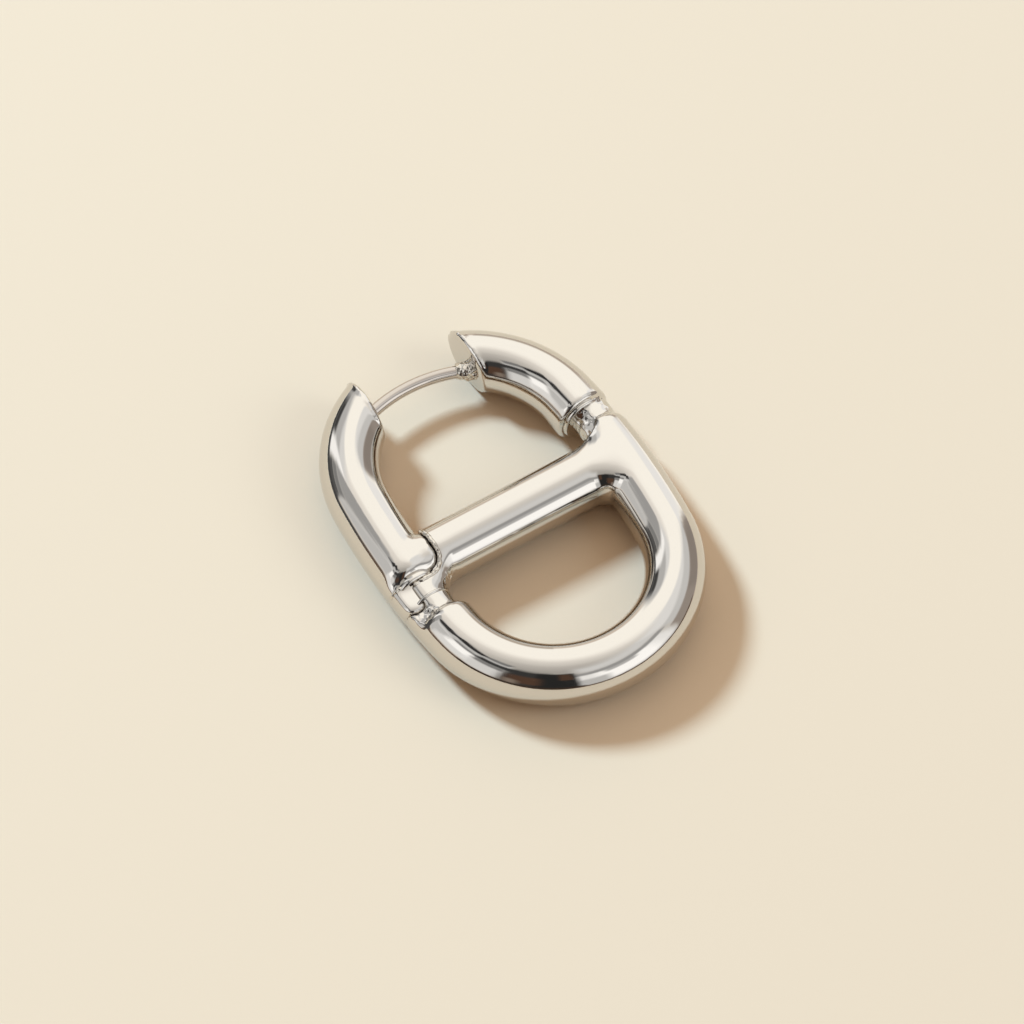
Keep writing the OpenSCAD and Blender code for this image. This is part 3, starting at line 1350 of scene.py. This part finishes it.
@dataclass(frozen=True)
class Softbox:
    """A lit panel or a dark gap of the studio, as the plate mirrors it.

    Bearings are degrees to the right of the camera, seen from the object. Heights are degrees
    above the surface.
    """

    bearing: tuple[float, float]
    height: tuple[float, float]
    strength: float
    feather: float = 8.0
    colour: str = "#FFFFFF"

    def hang(
        self, tree: bpy.types.NodeTree, sky: bpy.types.NodeSocket, behind: bpy.types.NodeSocket
    ) -> bpy.types.NodeSocket:
        """Lays the panel over what hangs behind it.

        Args:
            tree: The world's node tree.
            sky: Bearing and height of a direction, in degrees.
            behind: Colour of the studio without this panel.

        Returns:
            Colour of the studio with this panel.
        """
        (left, right), (low, high) = self.bearing, self.height
        inset = self.feather / 2
        middle = ((left + right) / 2, (low + high) / 2, 0)
        half = ((right - left) / 2 - inset, (high - low) / 2 - inset, 1)
        kind = "ShaderNodeVectorMath"
        offset = add_node(tree, kind, {"operation": "SUBTRACT", 1: middle}, {0: sky})
        away = add_node(tree, kind, {"operation": "ABSOLUTE"}, {0: offset.outputs[0]})
        outside = add_node(tree, kind, {"operation": "SUBTRACT", 1: half}, {0: away.outputs[0]})
        beyond = add_node(tree, kind, {"operation": "MAXIMUM", 1: (0, 0, 0)}, {0: outside.outputs[0]})
        distance = add_node(tree, kind, {"operation": "LENGTH"}, {0: beyond.outputs[0]})
        share = add_node(
            tree,
            "ShaderNodeMapRange",
            {"interpolation_type": "SMOOTHSTEP", "From Max": self.feather, "To Min": 1.0, "To Max": 0.0},
            {"Value": distance.outputs["Value"]},
        )
        glow = tuple(part * self.strength for part in linear(self.colour)[:3])
        panel = add_node(
            tree,
            "ShaderNodeMix",
            {"data_type": "VECTOR", 5: glow},
            {0: share.outputs["Result"], 4: behind},
        )
        return panel.outputs[1]


@dataclass(frozen=True)
class Lamp:
    """A round lamp that casts the soft shadows. The plate mirrors the panels instead."""

    name: str
    bearing: float
    height: float
    spread: float
    energy: float
    colour: str
    far: float = 1.0

    def hang(self, toward: Vector, right: Vector) -> None:
        """Hangs the lamp, aimed at the object.

        Args:
            toward: Level direction from the object to the camera.
            right: Level direction to the camera's right.
        """
        data = bpy.data.lights.new(self.name, "AREA")
        data.shape = "DISK"
        data.size = 2 * self.far * math.tan(math.radians(self.spread / 2))
        data.energy = self.energy
        data.color = linear(self.colour)[:3]
        lamp = placed(self.name, data)
        a, e = math.radians(self.bearing), math.radians(self.height)
        away = (toward * math.cos(a) + right * math.sin(a)) * math.cos(e) + Vector((0, 0, math.sin(e)))
        lamp.location = away * self.far
        lamp.rotation_mode = "QUATERNION"
        lamp.rotation_quaternion = away.to_track_quat("Z", "Y")
        lamp.visible_glossy = False


# The key throws the soft shadow to the right and the side lamp fills it. Both are bluish, because
# the surface and the panels are warm
LAMPS = (
    Lamp("key", bearing=-131, height=37, spread=11, energy=30.2, colour="#9ECBFA"),
    Lamp("side", bearing=78, height=36, spread=30, energy=3.8, colour="#B4DCFF"),
)

# The plate mirrors these, each laid over those before it, so they draw its white tops and dark
# bands. A row has the bearings, the heights, the strength, and the feather and colour if not plain
PANELS = (
    # Behind: a wide white wall, for the tops of the rods
    Softbox((-190, -146), (-30, 68), 1.35, 22, "#FFFCF5"),
    Softbox((138, 190), (-30, 68), 1.35, 22, "#FFFCF5"),
    # Right and back right: greys that fall off, for the loop's right side
    Softbox((20, 104), (50, 70), 0.86, 18),
    Softbox((95, 150), (44, 66), 1.0, 12),
    Softbox((90, 146), (26, 48), 0.76, 8),
    Softbox((86, 142), (-10, 30), 0.4, 6, "#FFF0E4"),
    Softbox((110, 138), (2, 27), 0.34, 6, "#FFF0E4"),
    Softbox((144, 154), (8, 36), 1.15, 5),
    # Back left and left: grey steps and dark gaps, for the left arm's outer side
    Softbox((-152, -128), (36, 54), 0.95),
    Softbox((-152, -128), (20, 42), 0.62),
    Softbox((-150, -128), (-14, 22), 0.45),
    Softbox((-146, -128), (8, 21), 0.07, 6),
    Softbox((-132, -122), (2, 48), 1.3, 5),
    Softbox((-122, -97), (2, 20), 0.12, 6),
    Softbox((-122, -98), (19, 32), 0.28, 6),
    Softbox((-124, -98), (31, 58), 0.46, 6),
    # Front left: a white box under dark edges, for the loop's lower left and the right arm
    Softbox((-97, -34), (-10, 16), 0.85, 6, "#FFF6EA"),
    Softbox((-104, -34), (44, 62), 0.72, 6),
    Softbox((-97, -34), (14, 46), 1.38),
    Softbox((-99, -78), (12, 46), 0.7, 8),
    Softbox((-80, -58), (10, 28), 1.0, 8),
    Softbox((-58, -34), (8, 38), 0.9, 8),
    Softbox((-58, -34), (36, 47), 0.3, 6),
    Softbox((-80, -58), (46, 52), 0.3, 5),
    Softbox((-60, -28), (46, 56), 0.06, 5),
    Softbox((-105, -90), (51, 61), 0.05, 4),
    Softbox((-97, -62), (58, 66), 0.04, 4),
    Softbox((-64, -38), (60, 68), 0.25, 5),
    # Front right: a white box, for the crossbar's lower half and the loop's lower right
    Softbox((14, 84), (-10, 14), 0.8, 6),
    Softbox((14, 84), (8, 46), 1.12, 10),
    Softbox((30, 72), (8, 42), 1.4, 12),
    Softbox((16, 36), (-8, 26), 0.68, 8),
    Softbox((36, 60), (34, 45), 0.6, 6),
    Softbox((14, 90), (42, 51), 0.42, 5),
    # Front: the dark room behind the camera, with warm glints
    Softbox((-34, 0), (2, 60), 0.05, 12),
    Softbox((-12, 17), (-6, 58), 0.028, 6),
    Softbox((-30, -8), (12, 40), 0.11, 10, "#FFC7A6"),
    Softbox((-31, -22), (6, 22), 0.35, 8, "#E8D2C0"),
    Softbox((5, 14), (34, 56), 0.1, 5, "#FFC7A6"),
    # Horizon: where the surface ends, for the thin lines along the rods
    Softbox((152, 190), (-10, 13), 0.6, 8, "#FFEEDC"),
    Softbox((-190, -150), (-10, 11), 0.8, 8, "#FFEEDC"),
    Softbox((-146, -84), (-2, 9), 0.08, 5),
    Softbox((-90, -55), (-2, 7), 0.3, 5, "#C8A890"),
    Softbox((-60, 20), (-4, 7), 0.1, 4, "#C8A890"),
    Softbox((16, 104), (-4, 4), 0.25, 3, "#C8A890"),
)


@dataclass
class Studio:
    """Pale surface, soft light and the camera at the photograph's angle."""

    azimuth: float = -32.0
    elevation: float = 57.0
    oval: Oval = field(default_factory=Oval)
    width_px: float = 1024.0
    px_per_mm: float = 17.5
    lens: float = 400.0
    drop_px: float = 4.3
    ceiling: tuple[float, float] = (1.15, 0.5)
    ceiling_fall: tuple[float, float] = (-0.6, 0.5)
    tint: str = "#FFFAF3"
    card: str = "#C9A885"
    card_roughness: float = 0.9
    card_size: float = 2.0
    seen: tuple[float, float] = (0.01, 10.0)

    def back(self) -> Vector:
        """Direction from the object to the camera."""
        a, e = math.radians(self.azimuth), math.radians(self.elevation)
        return Vector((math.sin(a) * math.cos(e), -math.cos(a) * math.cos(e), math.sin(e)))

    def set_camera(self) -> None:
        """Makes the scene's camera."""
        data = bpy.data.cameras.new("camera")
        data.lens = self.lens
        camera = placed("camera", data)
        back = self.back()
        turn = (-back).to_track_quat("-Z", "Y")
        half = math.atan(data.sensor_width / 2 / data.lens)
        width = self.width_px / self.px_per_mm
        reach = width / 2 / math.tan(half)
        up = turn @ Vector((0, 1, 0))
        centre = Vector((0, self.oval.centre_y, self.oval.rod_r))
        aim = centre + up * self.drop_px * width / self.width_px
        camera.rotation_mode = "QUATERNION"
        camera.rotation_quaternion = turn
        camera.location = (aim + back * reach) * MM
        data.clip_start, data.clip_end = self.seen
        bpy.context.scene.camera = camera

    def lay_surface(self) -> None:
        """Makes the pale surface."""
        bpy.ops.object.select_all(action="DESELECT")
        bpy.ops.mesh.primitive_plane_add(size=self.card_size, location=(0, 0, 0))
        floor = named("surface")
        material = bpy.data.materials.new("cream_card")
        material.use_nodes = True
        shader = material.node_tree.nodes["Principled BSDF"]
        shader.inputs["Base Color"].default_value = linear(self.card)
        shader.inputs["Roughness"].default_value = self.card_roughness
        floor.data.materials.append(material)

    def light(self) -> None:
        """Hangs the panels and the lamps round the object."""
        world = bpy.data.worlds.new("studio")
        bpy.context.scene.world = world
        world.use_nodes = True
        tree = world.node_tree
        direction = add_node(tree, "ShaderNodeTexCoord").outputs["Generated"]
        kind = "ShaderNodeVectorMath"
        back = self.back()
        toward = Vector((back.x, back.y, 0)).normalized()
        right = Vector((-toward.y, toward.x, 0))
        along = add_node(tree, kind, {"operation": "DOT_PRODUCT", 1: toward}, {0: direction})
        across = add_node(tree, kind, {"operation": "DOT_PRODUCT", 1: right}, {0: direction})
        upward = add_node(tree, kind, {"operation": "DOT_PRODUCT", 1: (0, 0, 1)}, {0: direction})
        bearing = add_node(
            tree,
            "ShaderNodeMath",
            {"operation": "ARCTAN2"},
            {0: across.outputs["Value"], 1: along.outputs["Value"]},
        )
        height = add_node(
            tree, "ShaderNodeMath", {"operation": "ARCSINE"}, {0: upward.outputs["Value"]}
        )
        angles = add_node(
            tree, "ShaderNodeCombineXYZ", {}, {"X": bearing.outputs[0], "Y": height.outputs[0]}
        )
        sky = add_node(
            tree, kind, {"operation": "SCALE", "Scale": 180 / math.pi}, {0: angles.outputs[0]}
        ).outputs[0]
        far, near = self.ceiling
        behind, before = self.ceiling_fall
        strength = add_node(
            tree,
            "ShaderNodeMapRange",
            {
                "interpolation_type": "SMOOTHSTEP",
                "From Min": behind,
                "From Max": before,
                "To Min": far,
                "To Max": near,
            },
            {"Value": along.outputs["Value"]},
        )
        colour = add_node(
            tree, kind, {"operation": "SCALE", 0: linear(self.tint)[:3]}, {"Scale": strength.outputs[0]}
        ).outputs[0]
        for panel in PANELS:
            colour = panel.hang(tree, sky, colour)
        tree.links.new(colour, tree.nodes["Background"].inputs["Color"])
        for lamp in LAMPS:
            lamp.hang(toward, right)

    def build(self) -> None:
        """Sets the whole studio."""
        self.lay_surface()
        self.light()
        self.set_camera()
        bpy.context.scene.view_settings.view_transform = "Standard"


def main() -> None:
    """Builds and dresses the sub-assemblies and sets the studio."""
    logging.basicConfig(level=logging.INFO, format="%(name)s: %(message)s")
    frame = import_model()
    for assembly in (LinkCasting(), HingedArm(), EarWire()):
        assembly.dress()
    coat(frame["nodes"]["hinge_pin"], PIN_STEEL)
    Studio().build()


if __name__ == "__main__":
    main()
